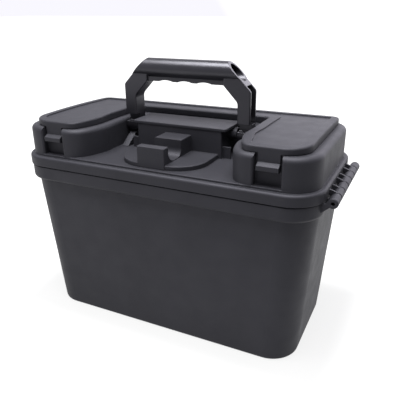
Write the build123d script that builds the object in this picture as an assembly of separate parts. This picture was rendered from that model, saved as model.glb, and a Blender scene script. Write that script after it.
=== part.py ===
"""Rigid latching carry box with a hinged lid, a folding arch handle and a U-shaped top storage cover.

Frame: millimetres, origin at the middle of the tub's underside, +X to the hinge end, +Y to the back,
+Z up. At rest the lid and the cover are closed, the handle stands upright and the latch hangs just off
its catch; its low limit is the hooked position.
"""
from build123d import *
from math import cos, radians, sin, sqrt
import os

# ---- tub ----
RIM_LENGTH = 380.0
RIM_DEPTH = 190.0
RIM_RADIUS = 38.0
TUB_BOTTOM = (341.0, 164.0, 34.0)      # length, depth, corner radius of the underside
TUB_TOP = (368.0, 178.0, 35.0)         # the same just under the band
TUB_WALL = 3.0
TUB_FLOOR = 5.0
TUB_EDGE = (3.0, 3.5)                  # fillets around the underside, outside and inside
RELIEF_INSETS = (14.0, 44.0)           # shallow ring groove in the underside
RELIEF_DEPTH = 1.2
RELIEF_RADIUS = 12.0                   # corners of the pad inside the groove
BAND = (376.4, 188.8, 37.2)
BAND_BOTTOM = 183.2
BAND_TOP = 200.3
BAND_FILLETS = (4.0, 0.6)              # lower and upper edge
SEAT_STEP = 186.5                      # where the wall widens inside the band
TONGUE_OUT = 4.5                       # insets of the sealing tongue from the lid rim
TONGUE_IN = 7.5
TONGUE_TOP = 206.0
TONGUE_FILLET = 0.7
WALL_LAP = 4.0                         # how far the wall runs up inside the band
MERGE = 1.0                            # overlap that fuses neighbouring solids

# ---- lid ----
LID_BOTTOM = 201.4
RIM_TOP = 213.9
DECK_TOP = 216.5
DECK_INSET = 5.5
RIM_FILLET = 3.2
DECK_FILLET = 0.7
RIM_SKIRT = 3.0
PLATE = 3.0
SKIN = 2.8
GASKET_Z = (206.15, 210.4)
GASKET_INSET = (3.6, 8.2)
GASKET_RIB = (8.6, 10.6)
GASKET_RIB_BOTTOM = 206.25

# ---- U-shaped storage housing and its cover ----
HOUSING_INSET = 0.2
HOUSING_OVERHANG = 8.8                 # how far the housing stands proud of the cover in the bay
LEDGE_Z = 250.0
SHOULDER = 6.0
UPSTAND_TOP = 252.8
UPSTAND_INSETS = (3.0, 5.2)            # outer and inner face, inwards from the cover's edge
SLOT_INSET = 2.8
SLOT_TOP = 246.5
COVER_BOTTOM = 250.5
COVER_TOP = 259.2                      # top of the crown
CROWN_RADIUS = 1900.0
CROWN_Y = -3.0
CROWN_EDGE = 3.5                       # the crowned top edges lie within this of the top
COVER_FILLET = 2.2
COVER_WALL = 2.4
COVER_SKIN = 4.1                       # below the crown, so that the recessed panel keeps its thickness
COVER_HALF = 173.0
COVER_FRONT = -84.0
COVER_BACK = 78.0
COVER_CORNERS = (27.0, 11.0)           # front and back outer corner radii
BAY_HALF = 96.0                        # the open bay between the wings
BAY_BACK = 38.0
BAY_RADIUS = 9.0
BAY_STRAIGHT_END = -10.0
BAY_RADIUS_SHARE = 0.5                 # share of an overhang that the bay's corner radius takes up
MIN_CORNER = 1.5                       # smallest back corner radius of an inset outline
NOSE = (95.0, -48.0)                   # where each wing comes nearest the handle
WING_TURN = (101.5, -71.0)
TURN_SHARE = (0.8, 0.6)                # share of an inset by which the turn moves along X and Y
WING_FRONT_X = 118.0
PANEL_INSET = 9.0
PANEL_INNER_INSET = 12.0
PANEL_DEPTH = 1.7
TAB_X = 135.5
TAB_WIDTH = 23.4
TAB_BOTTOM = 232.0
TAB_GAP = 0.6
TAB_LIP_Y = -89.3
TAB_LIP_Z = (233.4, 238.3, 241.5)
TAB_LIP_FILLET = 0.6
NOTCH_WIDTH = 29.0
NOTCH_MOUTH = 2.5                      # rounding of the mouth's upright corners
NOTCH_BACK = -81.2
BEYOND = 100.0                         # clears the whole depth when cutting
COVER_AXIS = (84.5, 251.6)             # y, z of the cover's hinge
COVER_KNUCKLE_R = 3.6
COVER_PIN_R = 1.5
COVER_HINGE_X = 100.0
COVER_KNUCKLES = (12.0, 18.0, 12.0)    # cover, lid, cover
COVER_KNUCKLE_GAP = 0.3
COVER_KNUCKLE_ROOM = 0.6
COVER_WEB_Z = (243.0, 247.0)

# ---- handle ----
PIVOT_Y = 8.0
PIVOT_Z = 242.0
HANDLE_FOLD = 95.0
GRIP_REACH = 71.4                      # pivot to grip centre
GRIP_R = 12.2
GRIP_BORE_R = 9.3
HANDLE_HALF = 85.0
LEG_INNER = 69.0
LEG_DEPTH = 21.0
LEG_EDGE = 1.2
CHAMFER_Z = 293.6                      # outer corner where the leg turns in
CHAMFER_X = 53.8                       # where the slope meets the top
OPENING_SHOULDER_Z = 280.2             # inner corner of the hand opening
OPENING_TOP = (51.2, 298.9)
HANDLE_CORNERS = (5.0, 8.0)            # outer and inner corner radii
WEB_THICK = 16.0                       # web under the grip
FINGERS = (-1, 0, 1)
FINGER_PITCH = 25.8
FINGER_RISE = 1.7
FINGER_HALF = 9.6
FINGER_CREST = 4.0                     # rounding where a recess meets the web's edge
CHANNEL_WALL = 3.0
CHANNEL_FLOOR = 4.0
CHANNEL_BOTTOM = 255.0
CHANNEL_TOP = 300.0                    # where the channel runs out on the slope
HEEL_Z = (246.0, 255.5)                # notch across the front of the leg, above its foot
HEEL_DEPTH = 8.5
HEEL_FILLET = 1.0
HANDLE_PIN_R = 4.0
HANDLE_PIN_X = (49.0, 84.6)
HANDLE_PIN_CHAMFER = 0.6

# ---- handle platform, grip cradle ----
PLATFORM_HALF = 57.0
PLATFORM_FRONT = -20.0
PLATFORM_BACK = 31.0
CAP_HALF = 63.0
CAP_BACK = 25.0
CAP_Z = (249.6, 253.0)
CAP_LIP = 0.8
CAP_FILLETS = (3.0, 1.0)               # upright corners, top edge
PLATFORM_EDGE = 1.0
PLATFORM_HOLLOW_BACK = 26.0
PIVOT_BOSS_R = 7.5
PIVOT_BOSS_IN = 11.0                   # length of the boss inside the platform wall
PIVOT_BORE_IN = 9.0
PIVOT_SIDE_GAP = 1.5
CRADLE_HALF = 17.5
CRADLE_TOP = 241.5
CRADLE_FRONT = -85.5
CRADLE_GAP = 0.6
CRADLE_BACK_WALL = -45.6
CRADLE_BACK_ROUND = 9.0                # lower back corner of the channel, clear of the finger web
CRADLE_EDGE = 1.0
STEP_HALF = 53.0
STEP_FRONT = -84.5
STEP_TOP = 222.0
STEP_RADIUS = 36.0
STEP_EDGE = 1.0
LANE_WALL_END = 67.4
LANE_WALL_Y = (-16.5, -14.0)
LANE_WALL_TOP = 231.0
LANE_EDGE = 0.6
LANE_RIB_X = (74.5, 83.5)
LANE_RIB_Y = (-19.0, 3.0)
LANE_RIB_Z = (217.2, 231.6)

# ---- main hinge ----
HINGE_X = 198.0
HINGE_Z = 201.2
HINGE_LENGTH = 134.0
KNUCKLES = 7
KNUCKLE_R = 5.5
KNUCKLE_GAP = 1.4
HINGE_PIN_R = 2.0
HINGE_RIB = 2.4
KNUCKLE_FILLET = 1.1
TUB_RIB = ((187.0, 189.5), (187.0, 200.2), (190.7, 200.2), (193.5, 204.0), (198.0, 201.2), (195.0, 196.6))
LID_RIB = ((188.0, 203.2), (188.0, 209.8), (193.5, 208.2), (198.0, 206.2), (198.0, 201.2), (192.6, 203.2))
HINGE_PIN_END = 7.0
HINGE_PIN_CHAMFER = 0.4
PIN_CLEARANCE = 0.06

# ---- latch ----
LATCH_X = -197.5
LATCH_Z = 208.0
LATCH_HALF = 21.0
LATCH_BARREL_R = 4.5
LATCH_PIN_R = 1.6
LATCH_HOOK_HALF = 15.0
CATCH_HALF = 16.0
LATCH_KNUCKLE = 7.5
LATCH_SIDE_GAP = 0.5
LATCH_ROOT_X = -188.0
LATCH_ROOT_Z = (203.6, 212.0)
LATCH_REST = 6.5                       # degrees that the latch hangs off its catch at rest
LATCH_PLATE = ((-202.0, 208.0), (-198.2, 208.0), (-198.2, 171.0), (-203.0, 162.5), (-206.5, 163.8),
               (-202.0, 172.0))
LATCH_HOOK = ((-199.0, 185.3), (-191.4, 185.3), (-191.4, 183.4), (-199.0, 178.0))
CATCH = ((-186.0, 185.8), (-193.2, 185.8), (-193.2, 188.8), (-187.0, 195.0), (-186.0, 195.0))


def rounded_slab(size, z_low, z_high):
    """Plate with rounded corners, size = (length, depth, corner radius)."""
    return extrude(Plane.XY.offset(z_low) * RectangleRounded(*size), z_high - z_low)


def rim_size(inset):
    """Length, depth and corner radius of the lid rim's outline, moved inwards by inset."""
    return (RIM_LENGTH - 2 * inset, RIM_DEPTH - 2 * inset, RIM_RADIUS - inset)


def shrink(size, inset):
    length, depth, radius = size
    return (length - 2 * inset, depth - 2 * inset, radius - inset)


def box_between(x, y, z):
    """Box from (low, high) pairs."""
    return Pos((x[0] + x[1]) / 2, (y[0] + y[1]) / 2, (z[0] + z[1]) / 2) * Box(
        x[1] - x[0], y[1] - y[0], z[1] - z[0])


def along_x(x0, x1, y, z, radius):
    """Cylinder from x0 to x1 whose axis is parallel to X."""
    return Pos((x0 + x1) / 2, y, z) * Rot(0, 90, 0) * Cylinder(radius, abs(x1 - x0))


def along_y(y0, y1, x, z, radius):
    """Cylinder from y0 to y1 whose axis is parallel to Y."""
    return Pos(x, (y0 + y1) / 2, z) * Rot(90, 0, 0) * Cylinder(radius, abs(y1 - y0))


def xz_prism(points, y0, y1):
    """Prism with an outline in X and Z, from y0 to y1."""
    face = make_face(Polyline(*[(x, 0, z) for x, z in points], close=True))
    return extrude(Pos(0, y0, 0) * face, y1 - y0, dir=(0, 1, 0))


def yz_prism(points, x0, x1):
    """Prism with an outline in Y and Z, from x0 to x1."""
    face = make_face(Polyline(*[(0, y, z) for y, z in points], close=True))
    return extrude(Pos(x0, 0, 0) * face, x1 - x0, dir=(1, 0, 0))


def both_sides(shape):
    """The shape and its mirror image across the middle plane x = 0."""
    return shape + mirror(shape, about=Plane.YZ)


def u_outline(half, front, back, corners, wing_inset, bay_back):
    """U-shaped face: two wings joined by a back strip, with S-curved inner wing edges.

    wing_inset moves the wings' inner edges away from the middle.
    """
    front_r, back_r = corners
    bay = BAY_HALF + wing_inset
    bay_r = BAY_RADIUS - BAY_RADIUS_SHARE * min(wing_inset, 0)
    turn = (WING_TURN[0] + TURN_SHARE[0] * wing_inset, WING_TURN[1] + TURN_SHARE[1] * wing_inset)
    right = [
        Line((0, back), (half - back_r, back)),
        CenterArc((half - back_r, back - back_r), back_r, 90, -90),
        Line((half, back - back_r), (half, front + front_r)),
        CenterArc((half - front_r, front + front_r), front_r, 0, -90),
        Line((half - front_r, front), (WING_FRONT_X, front)),
        Spline((WING_FRONT_X, front), turn, (NOSE[0] + wing_inset, NOSE[1]),
               (bay, BAY_STRAIGHT_END), tangents=((-1, 0), (0, 1))),
        Line((bay, BAY_STRAIGHT_END), (bay, bay_back - bay_r)),
        CenterArc((bay - bay_r, bay_back - bay_r), bay_r, 0, 90),
        Line((bay - bay_r, bay_back), (0, bay_back)),
    ]
    half_curve = Curve() + right
    return make_face(half_curve + mirror(half_curve, about=Plane.YZ))


def cover_outline(inset, inner_inset=None):
    """Outline of the storage cover moved inwards by inset (inner_inset on the bay side)."""
    inner = inset if inner_inset is None else inner_inset
    corners = (COVER_CORNERS[0] - inset, max(COVER_CORNERS[1] - inset, MIN_CORNER))
    return u_outline(COVER_HALF - inset, COVER_FRONT + inset, COVER_BACK - inset,
                     corners, inner, BAY_BACK + inner)


def housing_outline(inset):
    """Outline of the raised housing moved inwards by inset."""
    half = RIM_LENGTH / 2 - DECK_INSET - inset
    depth = RIM_DEPTH / 2 - DECK_INSET - inset
    corner = RIM_RADIUS - DECK_INSET - inset
    return u_outline(half, -depth, depth, (corner, corner), inset - HOUSING_OVERHANG,
                     BAY_BACK - HOUSING_OVERHANG + inset)


def raise_face(face, z_low, z_high):
    return extrude(Pos(0, 0, z_low) * face, z_high - z_low, dir=(0, 0, 1))


def knuckle_spans():
    """(start, end) in Y of each main hinge knuckle, front to back."""
    pitch = HINGE_LENGTH / KNUCKLES
    first = -HINGE_LENGTH / 2
    return [(first + k * pitch + KNUCKLE_GAP / 2, first + (k + 1) * pitch - KNUCKLE_GAP / 2)
            for k in range(KNUCKLES)]


def hinge_half(spans, rib_profile):
    """Knuckles at the given spans, each held by two thin ribs."""
    shape = Part()
    for start, end in spans:
        barrel = along_y(start, end, HINGE_X, HINGE_Z, KNUCKLE_R)
        shape += fillet(barrel.edges(), KNUCKLE_FILLET)
        shape += xz_prism(rib_profile, start, start + HINGE_RIB)
        shape += xz_prism(rib_profile, end - HINGE_RIB, end)
    reach = HINGE_LENGTH / 2 + MERGE
    return shape - along_y(-reach, reach, HINGE_X, HINGE_Z, HINGE_PIN_R + PIN_CLEARANCE)


def tub_wall(inset, z_low, edge_fillet):
    """Tapered solid with a rounded lower edge: the tub's outside, or its inside at a wall's inset."""
    low = Pos(0, 0, z_low) * RectangleRounded(*shrink(TUB_BOTTOM, inset))
    high = Pos(0, 0, BAND_BOTTOM + WALL_LAP) * RectangleRounded(*shrink(TUB_TOP, inset))
    wall = loft([low, high], ruled=True)
    return fillet(wall.edges().group_by(Axis.Z)[0], edge_fillet)


def tub_shell():
    band = rounded_slab(BAND, BAND_BOTTOM, BAND_TOP)
    band = fillet(band.edges().group_by(Axis.Z)[0], BAND_FILLETS[0])
    band = fillet(band.edges().group_by(Axis.Z)[-1], BAND_FILLETS[1])
    tongue = rounded_slab(rim_size(TONGUE_OUT), BAND_TOP - MERGE, TONGUE_TOP)
    tongue = fillet(tongue.edges().group_by(Axis.Z)[-1], TONGUE_FILLET)
    mouth = rounded_slab(rim_size(TONGUE_IN), SEAT_STEP, TONGUE_TOP + MERGE)
    relief = rounded_slab(shrink(TUB_BOTTOM, RELIEF_INSETS[0]), -MERGE, RELIEF_DEPTH)
    relief -= rounded_slab((TUB_BOTTOM[0] - 2 * RELIEF_INSETS[1], TUB_BOTTOM[1] - 2 * RELIEF_INSETS[1],
                            RELIEF_RADIUS), -MERGE, RELIEF_DEPTH)
    body = tub_wall(0, 0, TUB_EDGE[0]) + band + tongue
    body -= tub_wall(TUB_WALL, TUB_FLOOR, TUB_EDGE[1]) + mouth + relief
    return body + xz_prism(CATCH, -CATCH_HALF, CATCH_HALF) + hinge_half(knuckle_spans()[0::2], TUB_RIB)


def soft_block(x, y, z, edge):
    """Box from (low, high) pairs with rounded upright and top edges."""
    block = box_between(x, y, z)
    return fillet(block.edges().filter_by(Axis.Z) + block.edges().group_by(Axis.Z)[-1], edge)


def grip_cradle():
    """Two blocks with a round-bottomed channel between them for the folded grip."""
    grip_y = PIVOT_Y - GRIP_REACH * sin(radians(HANDLE_FOLD))
    grip_z = PIVOT_Z + GRIP_REACH * cos(radians(HANDLE_FOLD))
    channel_r = GRIP_R + CRADLE_GAP
    block = soft_block((-CRADLE_HALF, CRADLE_HALF), (CRADLE_FRONT, PLATFORM_FRONT + 2 * MERGE),
                       (DECK_TOP - 2 * MERGE, CRADLE_TOP), CRADLE_EDGE)
    reach = CRADLE_HALF + MERGE
    far_y = CRADLE_BACK_WALL - CRADLE_BACK_ROUND
    low_z = grip_z - channel_r
    round_z = low_z + CRADLE_BACK_ROUND
    channel = along_x(-reach, reach, grip_y, grip_z, channel_r)
    channel += along_x(-reach, reach, far_y, round_z, CRADLE_BACK_ROUND)
    channel += box_between((-reach, reach), (grip_y, far_y), (low_z, grip_z))
    channel += box_between((-reach, reach), (grip_y, CRADLE_BACK_WALL), (round_z, grip_z))
    channel += box_between((-reach, reach), (grip_y - channel_r, CRADLE_BACK_WALL),
                           (grip_z, CRADLE_TOP + MERGE))
    return block - channel


def low_step():
    """Rounded step on the deck in front of the platform."""
    depth = PLATFORM_FRONT - STEP_FRONT + STEP_RADIUS
    base_z = DECK_TOP - 2 * MERGE
    centre_y = STEP_FRONT + depth / 2
    step = extrude(Pos(0, centre_y, base_z) * RectangleRounded(2 * STEP_HALF, depth, STEP_RADIUS),
                   STEP_TOP - base_z)
    step = fillet(step.edges().group_by(Axis.Z)[-1], STEP_EDGE)
    return step & box_between((-STEP_HALF, STEP_HALF), (STEP_FRONT, PLATFORM_FRONT + MERGE),
                              (base_z, STEP_TOP))


def handle_platform():
    """Block between the handle legs with an overhanging cap, and the bosses of the handle's pivot."""
    block = soft_block((-PLATFORM_HALF, PLATFORM_HALF), (PLATFORM_FRONT, PLATFORM_BACK),
                       (DECK_TOP - 2 * MERGE, CAP_Z[0] + 2 * MERGE), PLATFORM_EDGE)
    cap = box_between((-CAP_HALF, CAP_HALF), (PLATFORM_FRONT - CAP_LIP, CAP_BACK), CAP_Z)
    cap = fillet(cap.edges().filter_by(Axis.Z), CAP_FILLETS[0])
    cap = fillet(cap.edges().group_by(Axis.Z)[-1], CAP_FILLETS[1])
    boss = along_x(PLATFORM_HALF - PIVOT_BOSS_IN, LEG_INNER - PIVOT_SIDE_GAP, PIVOT_Y, PIVOT_Z, PIVOT_BOSS_R)
    return block + cap + both_sides(boss)


def handle_lanes():
    """Low wall in front of each leg's pocket, and the ramp that the notch in the folded leg drops over."""
    wall = soft_block((PLATFORM_HALF - 2 * MERGE, LANE_WALL_END), LANE_WALL_Y,
                      (DECK_TOP - 2 * MERGE, LANE_WALL_TOP), LANE_EDGE)
    (front, back), (low, high) = LANE_RIB_Y, LANE_RIB_Z
    base_z = DECK_TOP - MERGE
    ramp = yz_prism([(back, base_z), (back, high), (front, low), (front, base_z)], *LANE_RIB_X)
    return both_sides(wall + ramp)


def lid_hollows():
    """Everything open below the lid: rim space, double-wall slots, platform and cradle."""
    under_z = DECK_TOP - PLATE - MERGE
    under = rounded_slab(rim_size(RIM_SKIRT), LID_BOTTOM - MERGE, GASKET_Z[1])
    under += rounded_slab(rim_size(GASKET_RIB[0]), LID_BOTTOM - MERGE, DECK_TOP - PLATE)
    notch_half = NOTCH_WIDTH / 2 + SKIN
    notch_walls = both_sides(box_between((TAB_X - notch_half, TAB_X + notch_half),
                                         (-BEYOND, NOTCH_BACK + MERGE), (under_z, LEDGE_Z)))
    slot = raise_face(housing_outline(SKIN), under_z, SLOT_TOP)
    slot -= raise_face(cover_outline(SLOT_INSET), under_z - MERGE, LEDGE_Z)
    slot -= notch_walls
    platform = box_between((-PLATFORM_HALF + SKIN, PLATFORM_HALF - SKIN),
                           (PLATFORM_FRONT + SKIN, PLATFORM_HOLLOW_BACK), (under_z, CAP_Z[0] - PLATE))
    platform -= both_sides(along_x(PLATFORM_HALF - PIVOT_BOSS_IN, PLATFORM_HALF, PIVOT_Y, PIVOT_Z,
                                   PIVOT_BOSS_R))
    cradle = box_between((-CRADLE_HALF + SKIN, CRADLE_HALF - SKIN),
                         (CRADLE_BACK_WALL + SKIN, PLATFORM_FRONT + SKIN + MERGE),
                         (under_z, CRADLE_TOP - SKIN))
    return under + slot + platform + cradle


def cover_knuckle_spans():
    """(start, end) in X of one cover hinge's three knuckles."""
    spans = []
    x = COVER_HINGE_X - sum(COVER_KNUCKLES) / 2
    for width in COVER_KNUCKLES:
        spans.append((x + COVER_KNUCKLE_GAP, x + width - COVER_KNUCKLE_GAP))
        x += width
    return spans


def cover_knuckle(span, web):
    barrel = along_x(span[0], span[1], *COVER_AXIS, COVER_KNUCKLE_R)
    return barrel + yz_prism(web, span[0], span[1])


def cover_pin_bore():
    low, _, high = cover_knuckle_spans()
    return along_x(low[0] - MERGE, high[1] + MERGE, *COVER_AXIS, COVER_PIN_R + PIN_CLEARANCE)


def cover_hinge_side(body):
    """The lid with its middle knuckles of the cover's hinges, and room for the cover's knuckles."""
    axis_y, axis_z = COVER_AXIS
    low, middle, high = cover_knuckle_spans()
    for span in (low, high):
        room = along_x(span[0] - COVER_KNUCKLE_ROOM, span[1] + COVER_KNUCKLE_ROOM, axis_y, axis_z,
                       COVER_KNUCKLE_R + COVER_KNUCKLE_ROOM)
        body -= both_sides(room)
    front_y = axis_y - COVER_KNUCKLE_R
    back_y = axis_y + COVER_KNUCKLE_R
    web = [(front_y, COVER_WEB_Z[1]), (front_y, axis_z), (axis_y, axis_z), (back_y, axis_z),
           (back_y, COVER_WEB_Z[0])]
    return body + both_sides(cover_knuckle(middle, web)) - both_sides(cover_pin_bore())


def lid_latch_side():
    """Two knuckles that carry the latch on the end away from the hinge."""
    profile = [(LATCH_ROOT_X, LATCH_ROOT_Z[0]), (LATCH_X, LATCH_Z - LATCH_BARREL_R),
               (LATCH_X, LATCH_Z + LATCH_BARREL_R), (LATCH_ROOT_X, LATCH_ROOT_Z[1])]
    inner_end = LATCH_HALF + LATCH_SIDE_GAP
    knuckles = Part()
    for start in (-inner_end - LATCH_KNUCKLE, inner_end):
        knuckles += xz_prism(profile, start, start + LATCH_KNUCKLE)
        knuckles += along_y(start, start + LATCH_KNUCKLE, LATCH_X, LATCH_Z, LATCH_BARREL_R)
    return knuckles


def lid_top():
    """The lid's solid mass: rim, deck, housing, the cover's upstand and the handle's platform."""
    rim = rounded_slab(rim_size(0), LID_BOTTOM, RIM_TOP)
    rim = fillet(rim.edges().group_by(Axis.Z)[-1], RIM_FILLET)
    deck = rounded_slab(rim_size(DECK_INSET), RIM_TOP - MERGE, DECK_TOP)
    deck = fillet(deck.edges().group_by(Axis.Z)[-1], DECK_FILLET)
    housing = raise_face(housing_outline(HOUSING_INSET), DECK_TOP - MERGE, LEDGE_Z)
    housing = fillet(housing.edges().group_by(Axis.Z)[-1], SHOULDER)
    upstand = raise_face(cover_outline(UPSTAND_INSETS[0]), LEDGE_Z - MERGE, UPSTAND_TOP)
    return rim + deck + housing + upstand + handle_platform() + low_step() + grip_cradle() + handle_lanes()


def tab_notch():
    """Slot in the wing's front that the snap tab hangs in, with a rounded mouth."""
    z_span = (DECK_TOP, LEDGE_Z + 2 * MERGE)
    left, right = TAB_X - NOTCH_WIDTH / 2, TAB_X + NOTCH_WIDTH / 2
    slot = box_between((left, right), (-BEYOND, NOTCH_BACK), z_span)
    front_y = HOUSING_INSET + DECK_INSET - RIM_DEPTH / 2
    round_y = front_y + NOTCH_MOUTH
    for edge, centre in ((left, left - NOTCH_MOUTH), (right, right + NOTCH_MOUTH)):
        corner = box_between(tuple(sorted((edge, centre))), (front_y - MERGE, round_y), z_span)
        rounding = Pos(centre, round_y, z_span[0]) * Cylinder(NOTCH_MOUTH, z_span[1] - z_span[0],
                                                               align=(Align.CENTER, Align.CENTER, Align.MIN))
        slot += corner - rounding
    return slot


def lid_shell():
    body = lid_top() - lid_hollows()
    body -= raise_face(cover_outline(UPSTAND_INSETS[1]), DECK_TOP, UPSTAND_TOP + MERGE)
    body -= both_sides(tab_notch())
    gasket_rib = rounded_slab(rim_size(GASKET_RIB[0]), GASKET_RIB_BOTTOM, DECK_TOP - PLATE + MERGE)
    gasket_rib -= rounded_slab(rim_size(GASKET_RIB[1]), LID_BOTTOM, DECK_TOP)
    body += gasket_rib + hinge_half(knuckle_spans()[1::2], LID_RIB) + lid_latch_side()
    handle_bore = along_x(PLATFORM_HALF - PIVOT_BORE_IN, LEG_INNER, PIVOT_Y, PIVOT_Z,
                          HANDLE_PIN_R + PIN_CLEARANCE)
    latch_reach = LATCH_HALF + LATCH_SIDE_GAP + LATCH_KNUCKLE + MERGE
    body -= both_sides(handle_bore)
    body -= along_y(-latch_reach, latch_reach, LATCH_X, LATCH_Z, LATCH_PIN_R + PIN_CLEARANCE)
    return cover_hinge_side(body)


def lid_gasket():
    ring = rounded_slab(rim_size(GASKET_INSET[0]), *GASKET_Z)
    return ring - rounded_slab(rim_size(GASKET_INSET[1]), GASKET_Z[0] - MERGE, GASKET_Z[1] + MERGE)


def crown(lowered):
    """Shallow barrel along X that limits the cover's height."""
    return along_x(-RIM_LENGTH, RIM_LENGTH, CROWN_Y, COVER_TOP - CROWN_RADIUS, CROWN_RADIUS - lowered)


def snap_tab():
    """Tab on the right wing with a finger lip."""
    x_span = (TAB_X - TAB_WIDTH / 2, TAB_X + TAB_WIDTH / 2)
    plate = box_between(x_span, (COVER_FRONT, NOTCH_BACK - TAB_GAP), (TAB_BOTTOM, COVER_BOTTOM + MERGE))
    lip_low, lip_high, lip_root = TAB_LIP_Z
    root_y = COVER_FRONT + MERGE / 2
    lip = yz_prism([(root_y, lip_root), (TAB_LIP_Y, lip_high), (TAB_LIP_Y, lip_low), (root_y, TAB_BOTTOM)],
                   *x_span)
    return plate + fillet(lip.edges().filter_by(Axis.X).group_by(Axis.Y)[0], TAB_LIP_FILLET)


def is_crown_edge(edge):
    """True for the edges where the cover's side meets its crowned top."""
    return edge.center().Z > COVER_TOP - CROWN_EDGE and edge.bounding_box().size.Z < CROWN_EDGE


def storage_cover():
    body = raise_face(cover_outline(0), COVER_BOTTOM, COVER_TOP + MERGE) & crown(0)
    body = fillet(body.edges().filter_by(is_crown_edge), COVER_FILLET)
    inside = raise_face(cover_outline(COVER_WALL), COVER_BOTTOM - MERGE, COVER_TOP + MERGE)
    body -= inside & crown(COVER_SKIN)
    panel = raise_face(cover_outline(PANEL_INSET, PANEL_INNER_INSET), COVER_BOTTOM - MERGE, COVER_TOP + MERGE)
    body -= panel - crown(PANEL_DEPTH)
    body += both_sides(snap_tab())
    axis_y, axis_z = COVER_AXIS
    root_y = COVER_BACK - MERGE
    web = [(root_y, axis_z - COVER_KNUCKLE_ROOM), (root_y, axis_z + COVER_KNUCKLE_R),
           (axis_y, axis_z + COVER_KNUCKLE_R), (axis_y, axis_z)]
    low, _, high = cover_knuckle_spans()
    for span in (low, high):
        body += both_sides(cover_knuckle(span, web))
    return body - both_sides(cover_pin_bore())


def cover_pin():
    low, _, high = cover_knuckle_spans()
    return along_x(low[0] + COVER_KNUCKLE_GAP, high[1] - COVER_KNUCKLE_GAP, *COVER_AXIS, COVER_PIN_R)


def handle_leg():
    """Right leg: rounded foot, channel section and the slope up to the grip."""
    top_z = PIVOT_Z + GRIP_REACH + GRIP_R
    grip_z = PIVOT_Z + GRIP_REACH
    depth = (PIVOT_Y - LEG_DEPTH / 2, PIVOT_Y + LEG_DEPTH / 2)
    foot_z = PIVOT_Z - LEG_DEPTH / 2
    outline = [(HANDLE_HALF, foot_z), (HANDLE_HALF, CHAMFER_Z), (CHAMFER_X, top_z), (OPENING_TOP[0], top_z),
               OPENING_TOP, (LEG_INNER, OPENING_SHOULDER_Z), (LEG_INNER, foot_z)]
    leg = xz_prism(outline, *depth)
    across = leg.edges().filter_by(Axis.Y)
    for height, radius in ((CHAMFER_Z, HANDLE_CORNERS[0]), (OPENING_SHOULDER_Z, HANDLE_CORNERS[1])):
        corner = across.filter_by_position(Axis.Z, height - MERGE, height + MERGE)
        leg = fillet(corner, radius)
        across = leg.edges().filter_by(Axis.Y)
    leg = fillet(leg.edges().group_by(Axis.Y)[0] + leg.edges().group_by(Axis.Y)[-1], LEG_EDGE)
    x_cut = (OPENING_TOP[0] - MERGE, HANDLE_HALF + MERGE)
    y_cut = (depth[0] - MERGE, depth[1] + MERGE)
    foot = box_between(x_cut, y_cut, (foot_z - MERGE, PIVOT_Z))
    leg -= foot - along_x(*x_cut, PIVOT_Y, PIVOT_Z, LEG_DEPTH / 2)
    crest = box_between(x_cut, y_cut, (grip_z, top_z + MERGE))
    leg -= crest - along_x(*x_cut, PIVOT_Y, grip_z, GRIP_R)
    notch = box_between(x_cut, (depth[0] - MERGE, depth[0] + HEEL_DEPTH), HEEL_Z)
    leg -= fillet(notch.edges().filter_by(Axis.X).group_by(Axis.Y)[-1], HEEL_FILLET)
    return leg - leg_channel(depth[0] + CHANNEL_WALL, depth[1] - CHANNEL_WALL)


def leg_channel(y_low, y_high):
    """Hollow in the leg's outer side, which follows the leg's bend and runs out on the slope."""
    floor_x = LEG_INNER + CHANNEL_FLOOR
    floor_sum = LEG_INNER + OPENING_SHOULDER_Z + CHANNEL_FLOOR * sqrt(2)      # x + z on the sloped floor
    slope_sum = CHAMFER_X + PIVOT_Z + GRIP_REACH + GRIP_R                     # x + z on the outer slope
    end_depth = (slope_sum - floor_sum) / 2
    end_x = slope_sum - CHANNEL_TOP
    outside = HANDLE_HALF + MERGE
    floor = [(outside, CHANNEL_BOTTOM), (floor_x, CHANNEL_BOTTOM), (floor_x, floor_sum - floor_x),
             (end_x - end_depth, CHANNEL_TOP - end_depth), (end_x + MERGE, CHANNEL_TOP + MERGE),
             (outside, slope_sum - outside + 2 * MERGE)]
    return xz_prism(floor, y_low, y_high)


def finger_web():
    """Plate under the grip with a shallow recess for each finger."""
    half, low_z = OPENING_TOP
    y_span = (PIVOT_Y - WEB_THICK / 2, PIVOT_Y + WEB_THICK / 2)
    web = box_between((-half - MERGE, half + MERGE), y_span, (low_z, PIVOT_Z + GRIP_REACH))
    recess_r = (FINGER_HALF ** 2 + FINGER_RISE ** 2) / (2 * FINGER_RISE)
    for finger in FINGERS:
        web -= along_y(*y_span, finger * FINGER_PITCH, low_z + FINGER_RISE - recess_r, recess_r)
    crests = web.edges().filter_by(Axis.Y).filter_by_position(Axis.Z, low_z - MERGE, low_z + MERGE)
    crests = crests.filter_by_position(Axis.X, -half, half)
    return fillet(crests, FINGER_CREST)


def handle_frame():
    """Arch of two legs and a hollow grip."""
    grip_z = PIVOT_Z + GRIP_REACH
    top_z = grip_z + GRIP_R
    arch = [(-HANDLE_HALF, PIVOT_Z), (-HANDLE_HALF, CHAMFER_Z), (-CHAMFER_X, top_z),
            (CHAMFER_X, top_z), (HANDLE_HALF, CHAMFER_Z), (HANDLE_HALF, PIVOT_Z)]
    grip = along_x(-HANDLE_HALF, HANDLE_HALF, PIVOT_Y, grip_z, GRIP_R)
    grip &= xz_prism(arch, PIVOT_Y - GRIP_R, PIVOT_Y + GRIP_R)
    body = both_sides(handle_leg()) + grip + finger_web()
    body -= along_x(-HANDLE_HALF, HANDLE_HALF, PIVOT_Y, grip_z, GRIP_BORE_R)
    return body - both_sides(along_x(LEG_INNER - MERGE, HANDLE_PIN_X[1], PIVOT_Y, PIVOT_Z, HANDLE_PIN_R))


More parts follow.
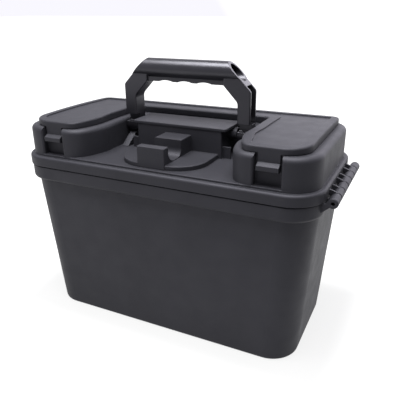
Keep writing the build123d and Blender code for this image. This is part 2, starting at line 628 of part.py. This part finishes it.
def handle_pin():
    pin = along_x(*HANDLE_PIN_X, PIVOT_Y, PIVOT_Z, HANDLE_PIN_R)
    return chamfer(pin.edges().group_by(Axis.X)[0], HANDLE_PIN_CHAMFER)


def main_hinge_pin():
    reach = HINGE_LENGTH / 2 - HINGE_PIN_END
    pin = along_y(-reach, reach, HINGE_X, HINGE_Z, HINGE_PIN_R)
    return chamfer(pin.edges(), HINGE_PIN_CHAMFER)


def latch_lever():
    """Latch that hangs from the lid, swung off the tub's catch by its rest angle."""
    barrel = along_y(-LATCH_HALF, LATCH_HALF, LATCH_X, LATCH_Z, LATCH_BARREL_R)
    plate = xz_prism(LATCH_PLATE, -LATCH_HALF, LATCH_HALF)
    hook = xz_prism(LATCH_HOOK, -LATCH_HOOK_HALF, LATCH_HOOK_HALF)
    reach = LATCH_HALF + MERGE
    lever = barrel + plate + hook - along_y(-reach, reach, LATCH_X, LATCH_Z, LATCH_PIN_R + PIN_CLEARANCE)
    return lever.rotate(Axis((LATCH_X, 0, LATCH_Z), (0, 1, 0)), LATCH_REST)


def latch_pin():
    reach = LATCH_HALF + LATCH_KNUCKLE
    return along_y(-reach, reach, LATCH_X, LATCH_Z, LATCH_PIN_R)


def main():
    right_pin = handle_pin()
    right_cover_pin = cover_pin()
    nodes = {
        "tub_shell": tub_shell(),
        "lid_shell": lid_shell(),
        "lid_gasket": lid_gasket(),
        "storage_cover": storage_cover(),
        "cover_pin_right": right_cover_pin,
        "cover_pin_left": mirror(right_cover_pin, about=Plane.YZ),
        "handle_frame": handle_frame(),
        "handle_pin_right": right_pin,
        "handle_pin_left": mirror(right_pin, about=Plane.YZ),
        "main_hinge_pin": main_hinge_pin(),
        "latch_lever": latch_lever(),
        "latch_pin": latch_pin(),
    }
    os.makedirs("parts", exist_ok=True)
    for name, shape in nodes.items():
        export_step(shape, f"parts/{name}.step")


main()
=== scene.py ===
"""Looks for the rigid carry box: studio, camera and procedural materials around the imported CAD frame.

Lengths are in metres, in the CAD's own frame: +X is the hinge end, +Y the back and +Z up.
Each ..._NOISE is (scale per metre, detail).
"""
import math

import bpy
from mathutils import Matrix, Vector


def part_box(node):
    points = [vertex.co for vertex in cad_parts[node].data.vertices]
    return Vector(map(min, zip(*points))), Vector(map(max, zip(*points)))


# ---- camera ----
CAMERA_PLACE = Vector((0.2708, -0.5163, 0.3870))
CAMERA_YAW = 26.006          # degrees to the left of +Y
CAMERA_PITCH = 22.385        # degrees below the horizon
CAMERA_ROLL = -0.586
LENS_MM = 43.0
SENSOR_MM = 36.0
NEAR_CLIP = 0.01

# ---- floor ----
FLOOR_HALF = 14.0
FLOOR_SHEET = (0.07, 0.07, 0.07)    # low, because the floor's brightness is its own glow
FLOOR_GLOW = (0.80, 1.20)           # against the box and clear of its painted shade
FLOOR_SHADE = 0.075                 # how far the painted shade reaches over the floor
FLOOR_FADE = (-0.60, -0.27)         # where the dim side of the floor ends and the bright side starts
FLOOR_DIM = 0.30                    # share of the glow on the dim side
FLOOR_ROUGHNESS = 0.9
FLOOR_SPECULAR = 0.1
TOOTH_NOISE = (300.0, 3.0)          # the paper's tooth
TOOTH_STRENGTH = 0.05

# ---- tent and lights ----
BRIGHT_YAW = 52.0                   # side on which floor and tent are brighter, in degrees left of +Y
SKY_TOP = (0.30, 0.295, 0.32)
SKY_LOW = (0.95, 0.94, 1.0)         # low on the bright side
SKY_FRONT = (0.29, 0.29, 0.305)     # low on the dim side
SKY_FADE = (-0.7, 0.1)              # from dim side to bright side
SKY_RISE = (0.2, 0.9)               # from sides to top, by the height of a direction of length 1
WINDOW_COLOUR = (2.25, 2.18, 2.42)
WINDOW_TOWARDS = (0.25, 0.90, 0.36)
WINDOW_EDGE = (0.72, 0.97)          # cosine off the window's middle: at its rim, at full strength
OVERHEAD_PLACE = (0.0, -0.24, 1.45)
OVERHEAD_AIM = (0.0, 0.0, 0.2)
OVERHEAD_SIZE = (1.3, 0.8)
OVERHEAD_WATTS = 66.0

# ---- moulded plastic ----
SHELL_DARK = (0.0094, 0.0094, 0.0118)
SHELL_LIGHT = (0.0126, 0.0126, 0.0156)
SHELL_SPECULAR = 0.34
SHELL_ROUGHNESS = (0.56, 0.64)
SHELL_GRAIN = (1500.0, 0.35)        # scale per metre and bump strength
SHELL_WEAR = 0.5                    # share of rub on the edges
HANDLE_DARK = (0.0058, 0.0057, 0.0070)
HANDLE_LIGHT = (0.0082, 0.0080, 0.0098)
HANDLE_SPECULAR = 0.55
HANDLE_ROUGHNESS = (0.29, 0.37)
HANDLE_GRAIN = (1100.0, 0.08)
HANDLE_WEAR = 0.35
RUBBED = (0.045, 0.045, 0.050)
SHEEN_TINT = (0.90, 0.89, 1.0)
PLASTIC_IOR = 1.49
EDGE_RADIUS = 0.0010                # softened edges in the shading
EDGE_TURN = (0.97, 0.80)            # cosine of the turn at which an edge starts to count and counts fully
EDGE_SAMPLES = 6
FLOW_NOISE = (9.0, 2.0)             # slow mottling from the flow of the melt
FLOW_STRETCH = (1.0, 1.0, 0.6)
FLOW_RANGE = (0.35, 0.65)
SCUFF_NOISE = (160.0, 5.0)
SCUFF_RANGE = (0.48, 0.68)
PATCH_NOISE = (55.0, 4.0)           # patches that shine more or less
PATCH_RANGE = (0.3, 0.7)
GRAIN_DETAIL = 2.0
GRAIN_DEPTH = 0.0002                # also the depth of the gasket's grain and the floor's tooth

# ---- gasket rubber ----
RUBBER_DARK = (0.0060, 0.0060, 0.0060)
RUBBER_LIGHT = (0.0100, 0.0100, 0.0102)
RUBBER_ROUGHNESS = (0.62, 0.78)
RUBBER_GRAIN = (900.0, 0.25)
BLOOM_NOISE = (70.0, 4.0)
BLOOM_RANGE = (0.4, 0.7)

# ---- drawn steel ----
STEEL_DARK = (0.22, 0.22, 0.23)
STEEL_LIGHT = (0.42, 0.42, 0.43)
STEEL_ROUGHNESS = (0.30, 0.46)
LINE_NOISE = (2200.0, 2.0)
LINE_STRETCH = 0.02                 # along the wire
LINE_RANGE = (0.35, 0.65)
LINE_STRENGTH = 0.2
LINE_DEPTH = 0.00005


def new_material(name):
    """(material, its node tree, its Principled shader already joined to the output)."""
    material = bpy.data.materials.new(name)
    material.use_nodes = True
    tree = material.node_tree
    tree.nodes.clear()
    shader = tree.nodes.new("ShaderNodeBsdfPrincipled")
    output = tree.nodes.new("ShaderNodeOutputMaterial")
    tree.links.new(shader.outputs["BSDF"], output.inputs["Surface"])
    return material, tree, shader


def noise(tree, scale, detail, stretch=(1.0, 1.0, 1.0)):
    """Noise in the object's own coordinates, so that it moves with the piece."""
    coords = tree.nodes.new("ShaderNodeTexCoord")
    mapping = tree.nodes.new("ShaderNodeMapping")
    mapping.inputs["Scale"].default_value = stretch
    texture = tree.nodes.new("ShaderNodeTexNoise")
    texture.inputs["Scale"].default_value = scale
    texture.inputs["Detail"].default_value = detail
    tree.links.new(coords.outputs["Object"], mapping.inputs["Vector"])
    tree.links.new(mapping.outputs["Vector"], texture.inputs["Vector"])
    return texture.outputs["Fac"]


def mapped(tree, value, low, high, to_low, to_high, style="LINEAR"):
    """Value carried from low..high to to_low..to_high, and held at the ends."""
    node = tree.nodes.new("ShaderNodeMapRange")
    node.interpolation_type = style
    node.inputs["From Min"].default_value = low
    node.inputs["From Max"].default_value = high
    node.inputs["To Min"].default_value = to_low
    node.inputs["To Max"].default_value = to_high
    tree.links.new(value, node.inputs["Value"])
    return node.outputs["Result"]


def vector_math(tree, operation, first, second=None):
    """Vector Math node; first is a socket, and second a socket or three numbers."""
    node = tree.nodes.new("ShaderNodeVectorMath")
    node.operation = operation
    tree.links.new(first, node.inputs[0])
    if isinstance(second, bpy.types.NodeSocket):
        tree.links.new(second, node.inputs[1])
    elif second is not None:
        node.inputs[1].default_value = second
    return node


def product(tree, first, second):
    """Product of two sockets."""
    node = tree.nodes.new("ShaderNodeMath")
    node.operation = "MULTIPLY"
    tree.links.new(first, node.inputs[0])
    tree.links.new(second, node.inputs[1])
    return node.outputs[0]


def mixed_colour(tree, factor, first, second):
    """Colour between first and second; each is a socket or three numbers."""
    node = tree.nodes.new("ShaderNodeMix")
    node.data_type = "RGBA"
    tree.links.new(factor, node.inputs["Factor"])
    for socket, colour in ((node.inputs["A"], first), (node.inputs["B"], second)):
        if isinstance(colour, tuple):
            socket.default_value = (*colour, 1.0)
        else:
            tree.links.new(colour, socket)
    return node.outputs["Result"]


def soft_edges(tree):
    """(rounded normal, edge mask from 0 on flats to 1 on edges)."""
    bevel = tree.nodes.new("ShaderNodeBevel")
    bevel.samples = EDGE_SAMPLES
    bevel.inputs["Radius"].default_value = EDGE_RADIUS
    geometry = tree.nodes.new("ShaderNodeNewGeometry")
    turn = vector_math(tree, "DOT_PRODUCT", bevel.outputs["Normal"], geometry.outputs["Normal"])
    mask = mapped(tree, turn.outputs["Value"], *EDGE_TURN, 0.0, 1.0)
    return bevel.outputs["Normal"], mask


def bumped(tree, height, strength, distance, normal=None):
    """Normal with the height's relief on it, over the given normal or the surface's own."""
    node = tree.nodes.new("ShaderNodeBump")
    node.inputs["Strength"].default_value = strength
    node.inputs["Distance"].default_value = distance
    tree.links.new(height, node.inputs["Height"])
    if normal is not None:
        tree.links.new(normal, node.inputs["Normal"])
    return node.outputs["Normal"]


def moulded_plastic(name, dark, light, specular, roughness, grain, wear):
    """Spark-textured moulded plastic: fine grain, faint flow mottling and lightly rubbed edges."""
    material, tree, shader = new_material(name)
    flow = mapped(tree, noise(tree, *FLOW_NOISE, FLOW_STRETCH), *FLOW_RANGE, 0.0, 1.0)
    colour = mixed_colour(tree, flow, dark, light)
    normal, edge = soft_edges(tree)
    scuffs = mapped(tree, noise(tree, *SCUFF_NOISE), *SCUFF_RANGE, 0.0, wear)
    rubbed = mixed_colour(tree, product(tree, edge, scuffs), colour, RUBBED)
    tree.links.new(rubbed, shader.inputs["Base Color"])
    patches = mapped(tree, noise(tree, *PATCH_NOISE), *PATCH_RANGE, *roughness)
    tree.links.new(patches, shader.inputs["Roughness"])
    grain_scale, grain_strength = grain
    texture = bumped(tree, noise(tree, grain_scale, GRAIN_DETAIL), grain_strength, GRAIN_DEPTH, normal)
    tree.links.new(texture, shader.inputs["Normal"])
    shader.inputs["IOR"].default_value = PLASTIC_IOR
    shader.inputs["Specular IOR Level"].default_value = specular
    shader.inputs["Specular Tint"].default_value = (*SHEEN_TINT, 1.0)
    return material


def shell_plastic():
    """Matt plastic of the tub, the lid and the storage cover."""
    return moulded_plastic("shell_plastic", SHELL_DARK, SHELL_LIGHT, SHELL_SPECULAR,
                           SHELL_ROUGHNESS, SHELL_GRAIN, SHELL_WEAR)


def handle_plastic():
    """Smoother and darker plastic of the handle, its pins and the latch."""
    return moulded_plastic("handle_plastic", HANDLE_DARK, HANDLE_LIGHT, HANDLE_SPECULAR,
                           HANDLE_ROUGHNESS, HANDLE_GRAIN, HANDLE_WEAR)


def gasket_rubber():
    """Matt black sealing rubber with a faint bloom."""
    material, tree, shader = new_material("gasket_rubber")
    bloom = mapped(tree, noise(tree, *BLOOM_NOISE), *BLOOM_RANGE, 0.0, 1.0)
    tree.links.new(mixed_colour(tree, bloom, RUBBER_DARK, RUBBER_LIGHT), shader.inputs["Base Color"])
    tree.links.new(mapped(tree, bloom, 0.0, 1.0, *RUBBER_ROUGHNESS), shader.inputs["Roughness"])
    grain_scale, grain_strength = RUBBER_GRAIN
    texture = bumped(tree, noise(tree, grain_scale, GRAIN_DETAIL), grain_strength, GRAIN_DEPTH)
    tree.links.new(texture, shader.inputs["Normal"])
    return material


def drawn_steel(name, along):
    """Wire drawn along one axis, with fine lines that run that way."""
    material, tree, shader = new_material(name)
    stretch = tuple(LINE_STRETCH if axis == along else 1.0 for axis in "xyz")
    lines = mapped(tree, noise(tree, *LINE_NOISE, stretch), *LINE_RANGE, 0.0, 1.0)
    tree.links.new(mixed_colour(tree, lines, STEEL_DARK, STEEL_LIGHT), shader.inputs["Base Color"])
    tree.links.new(mapped(tree, lines, 0.0, 1.0, *STEEL_ROUGHNESS), shader.inputs["Roughness"])
    tree.links.new(bumped(tree, lines, LINE_STRENGTH, LINE_DEPTH), shader.inputs["Normal"])
    shader.inputs["Metallic"].default_value = 1.0
    return material


def dress(nodes, names, material):
    """Gives the named CAD nodes a material."""
    for name in names:
        node = nodes[name]
        if not node.material_slots:
            node.data.materials.append(material)
        for holder in node.material_slots:
            holder.material = material


def dress_all(nodes):
    """Gives every CAD node its material."""
    handle_pieces = ["handle_frame", "handle_pin_left", "handle_pin_right", "latch_lever"]
    dress(nodes, ["tub_shell", "lid_shell", "storage_cover"], shell_plastic())
    dress(nodes, handle_pieces, handle_plastic())
    dress(nodes, ["lid_gasket"], gasket_rubber())
    dress(nodes, ["cover_pin_left", "cover_pin_right"], drawn_steel("steel_along_x", "x"))
    dress(nodes, ["main_hinge_pin", "latch_pin"], drawn_steel("steel_along_y", "y"))


def towards_bright_side(tree, place):
    """How far a place or direction lies towards the studio's bright side."""
    yaw = math.radians(BRIGHT_YAW)
    along = vector_math(tree, "DOT_PRODUCT", place, (-math.sin(yaw), math.cos(yaw), 0.0))
    return along.outputs["Value"]


def distance_outside(tree, place, half):
    """How far a place on the floor is from a rectangle of the given half sizes around the origin."""
    folded = vector_math(tree, "ABSOLUTE", place)
    beyond = vector_math(tree, "SUBTRACT", folded.outputs["Vector"], (*half, 0.0))
    outside = vector_math(tree, "MAXIMUM", beyond.outputs["Vector"], (0.0, 0.0, 0.0))
    return vector_math(tree, "LENGTH", outside.outputs["Vector"]).outputs["Value"]


def footprint(name):
    """Half of a CAD node's size along X and along Y."""
    low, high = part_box(name)
    return [(high[axis] - low[axis]) / 2 for axis in (0, 1)]


def floor_material(half):
    """Pale paper that glows by itself, less on the dim side and in a shade painted around the box."""
    material, tree, shader = new_material("floor_paper")
    place = tree.nodes.new("ShaderNodeTexCoord").outputs["Object"]
    side = mapped(tree, towards_bright_side(tree, place), *FLOOR_FADE, FLOOR_DIM, 1.0, "SMOOTHSTEP")
    away = distance_outside(tree, place, half)
    glow = mapped(tree, away, 0.0, FLOOR_SHADE, *FLOOR_GLOW, "SMOOTHSTEP")
    tree.links.new(product(tree, glow, side), shader.inputs["Emission Strength"])
    shader.inputs["Emission Color"].default_value = (1.0, 1.0, 1.0, 1.0)
    shader.inputs["Base Color"].default_value = (*FLOOR_SHEET, 1.0)
    shader.inputs["Roughness"].default_value = FLOOR_ROUGHNESS
    shader.inputs["Specular IOR Level"].default_value = FLOOR_SPECULAR
    tooth = bumped(tree, noise(tree, *TOOTH_NOISE), TOOTH_STRENGTH, GRAIN_DEPTH)
    tree.links.new(tooth, shader.inputs["Normal"])
    return material


def floor(half):
    """Large square floor under the box."""
    mesh = bpy.data.meshes.new("floor")
    far = FLOOR_HALF
    mesh.from_pydata([(-far, -far, 0), (far, -far, 0), (far, far, 0), (-far, far, 0)], [], [(0, 1, 2, 3)])
    piece = bpy.data.objects.new("floor", mesh)
    bpy.context.scene.collection.objects.link(piece)
    mesh.materials.append(floor_material(half))


def softbox(name, place, aim, size, watts):
    """Rectangular area light at place, turned towards aim."""
    data = bpy.data.lights.new(name, "AREA")
    data.shape = "RECTANGLE"
    data.size, data.size_y = size
    data.energy = watts
    lamp = bpy.data.objects.new(name, data)
    lamp.location = place
    lamp.rotation_mode = "QUATERNION"
    lamp.rotation_quaternion = (Vector(aim) - Vector(place)).to_track_quat("-Z", "Y")
    bpy.context.scene.collection.objects.link(lamp)


def tent_colour(tree, direction):
    """Bright low on the bright side, dimmer overhead and low on the dim side."""
    split = tree.nodes.new("ShaderNodeSeparateXYZ")
    tree.links.new(direction, split.inputs["Vector"])
    side = mapped(tree, towards_bright_side(tree, direction), *SKY_FADE, 0.0, 1.0, "SMOOTHSTEP")
    upwards = mapped(tree, split.outputs["Z"], *SKY_RISE, 0.0, 1.0)
    return mixed_colour(tree, upwards, mixed_colour(tree, side, SKY_FRONT, SKY_LOW), SKY_TOP)


def with_window(tree, direction, colour):
    """The colour with a soft bright window added, behind the box and about 20 degrees up."""
    lobe = vector_math(tree, "DOT_PRODUCT", direction, Vector(WINDOW_TOWARDS).normalized())
    total = tree.nodes.new("ShaderNodeMix")
    total.data_type = "RGBA"
    total.blend_type = "ADD"
    total.clamp_factor = False
    tree.links.new(mapped(tree, lobe.outputs["Value"], *WINDOW_EDGE, 0.0, 1.0), total.inputs["Factor"])
    tree.links.new(colour, total.inputs["A"])
    total.inputs["B"].default_value = (*WINDOW_COLOUR, 1.0)
    return total.outputs["Result"]


def sky():
    """Pale tent all round, with one soft window."""
    world = bpy.data.worlds.new("studio")
    bpy.context.scene.world = world
    world.use_nodes = True
    tree = world.node_tree
    tree.nodes.clear()
    direction = tree.nodes.new("ShaderNodeTexCoord").outputs["Generated"]
    background = tree.nodes.new("ShaderNodeBackground")
    output = tree.nodes.new("ShaderNodeOutputWorld")
    colour = with_window(tree, direction, tent_colour(tree, direction))
    tree.links.new(colour, background.inputs["Color"])
    tree.links.new(background.outputs["Background"], output.inputs["Surface"])


def camera():
    """Camera turned by yaw, pitch and roll from looking along +Y."""
    yaw, pitch, roll = (math.radians(angle) for angle in (CAMERA_YAW, CAMERA_PITCH, CAMERA_ROLL))
    level_right = Vector((math.cos(yaw), math.sin(yaw), 0.0))
    ahead = Vector((-math.sin(yaw) * math.cos(pitch), math.cos(yaw) * math.cos(pitch), -math.sin(pitch)))
    level_up = level_right.cross(ahead)
    right = math.cos(roll) * level_right + math.sin(roll) * level_up
    up = math.cos(roll) * level_up - math.sin(roll) * level_right
    data = bpy.data.cameras.new("camera")
    data.lens = LENS_MM
    data.sensor_width = SENSOR_MM
    data.clip_start = NEAR_CLIP
    eye = bpy.data.objects.new("camera", data)
    eye.matrix_world = Matrix.Translation(CAMERA_PLACE) @ Matrix((right, up, -ahead)).transposed().to_4x4()
    bpy.context.scene.collection.objects.link(eye)
    bpy.context.scene.camera = eye


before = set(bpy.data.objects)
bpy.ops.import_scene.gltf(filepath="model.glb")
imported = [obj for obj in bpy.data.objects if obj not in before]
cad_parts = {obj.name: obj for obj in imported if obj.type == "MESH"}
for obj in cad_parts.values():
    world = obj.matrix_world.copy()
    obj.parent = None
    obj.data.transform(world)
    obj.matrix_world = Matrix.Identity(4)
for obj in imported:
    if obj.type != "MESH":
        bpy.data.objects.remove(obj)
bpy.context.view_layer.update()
bpy.context.scene.view_settings.view_transform = "Standard"
dress_all(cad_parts)
floor(footprint("tub_shell"))
sky()
softbox("overhead", OVERHEAD_PLACE, OVERHEAD_AIM, OVERHEAD_SIZE, OVERHEAD_WATTS)
camera()
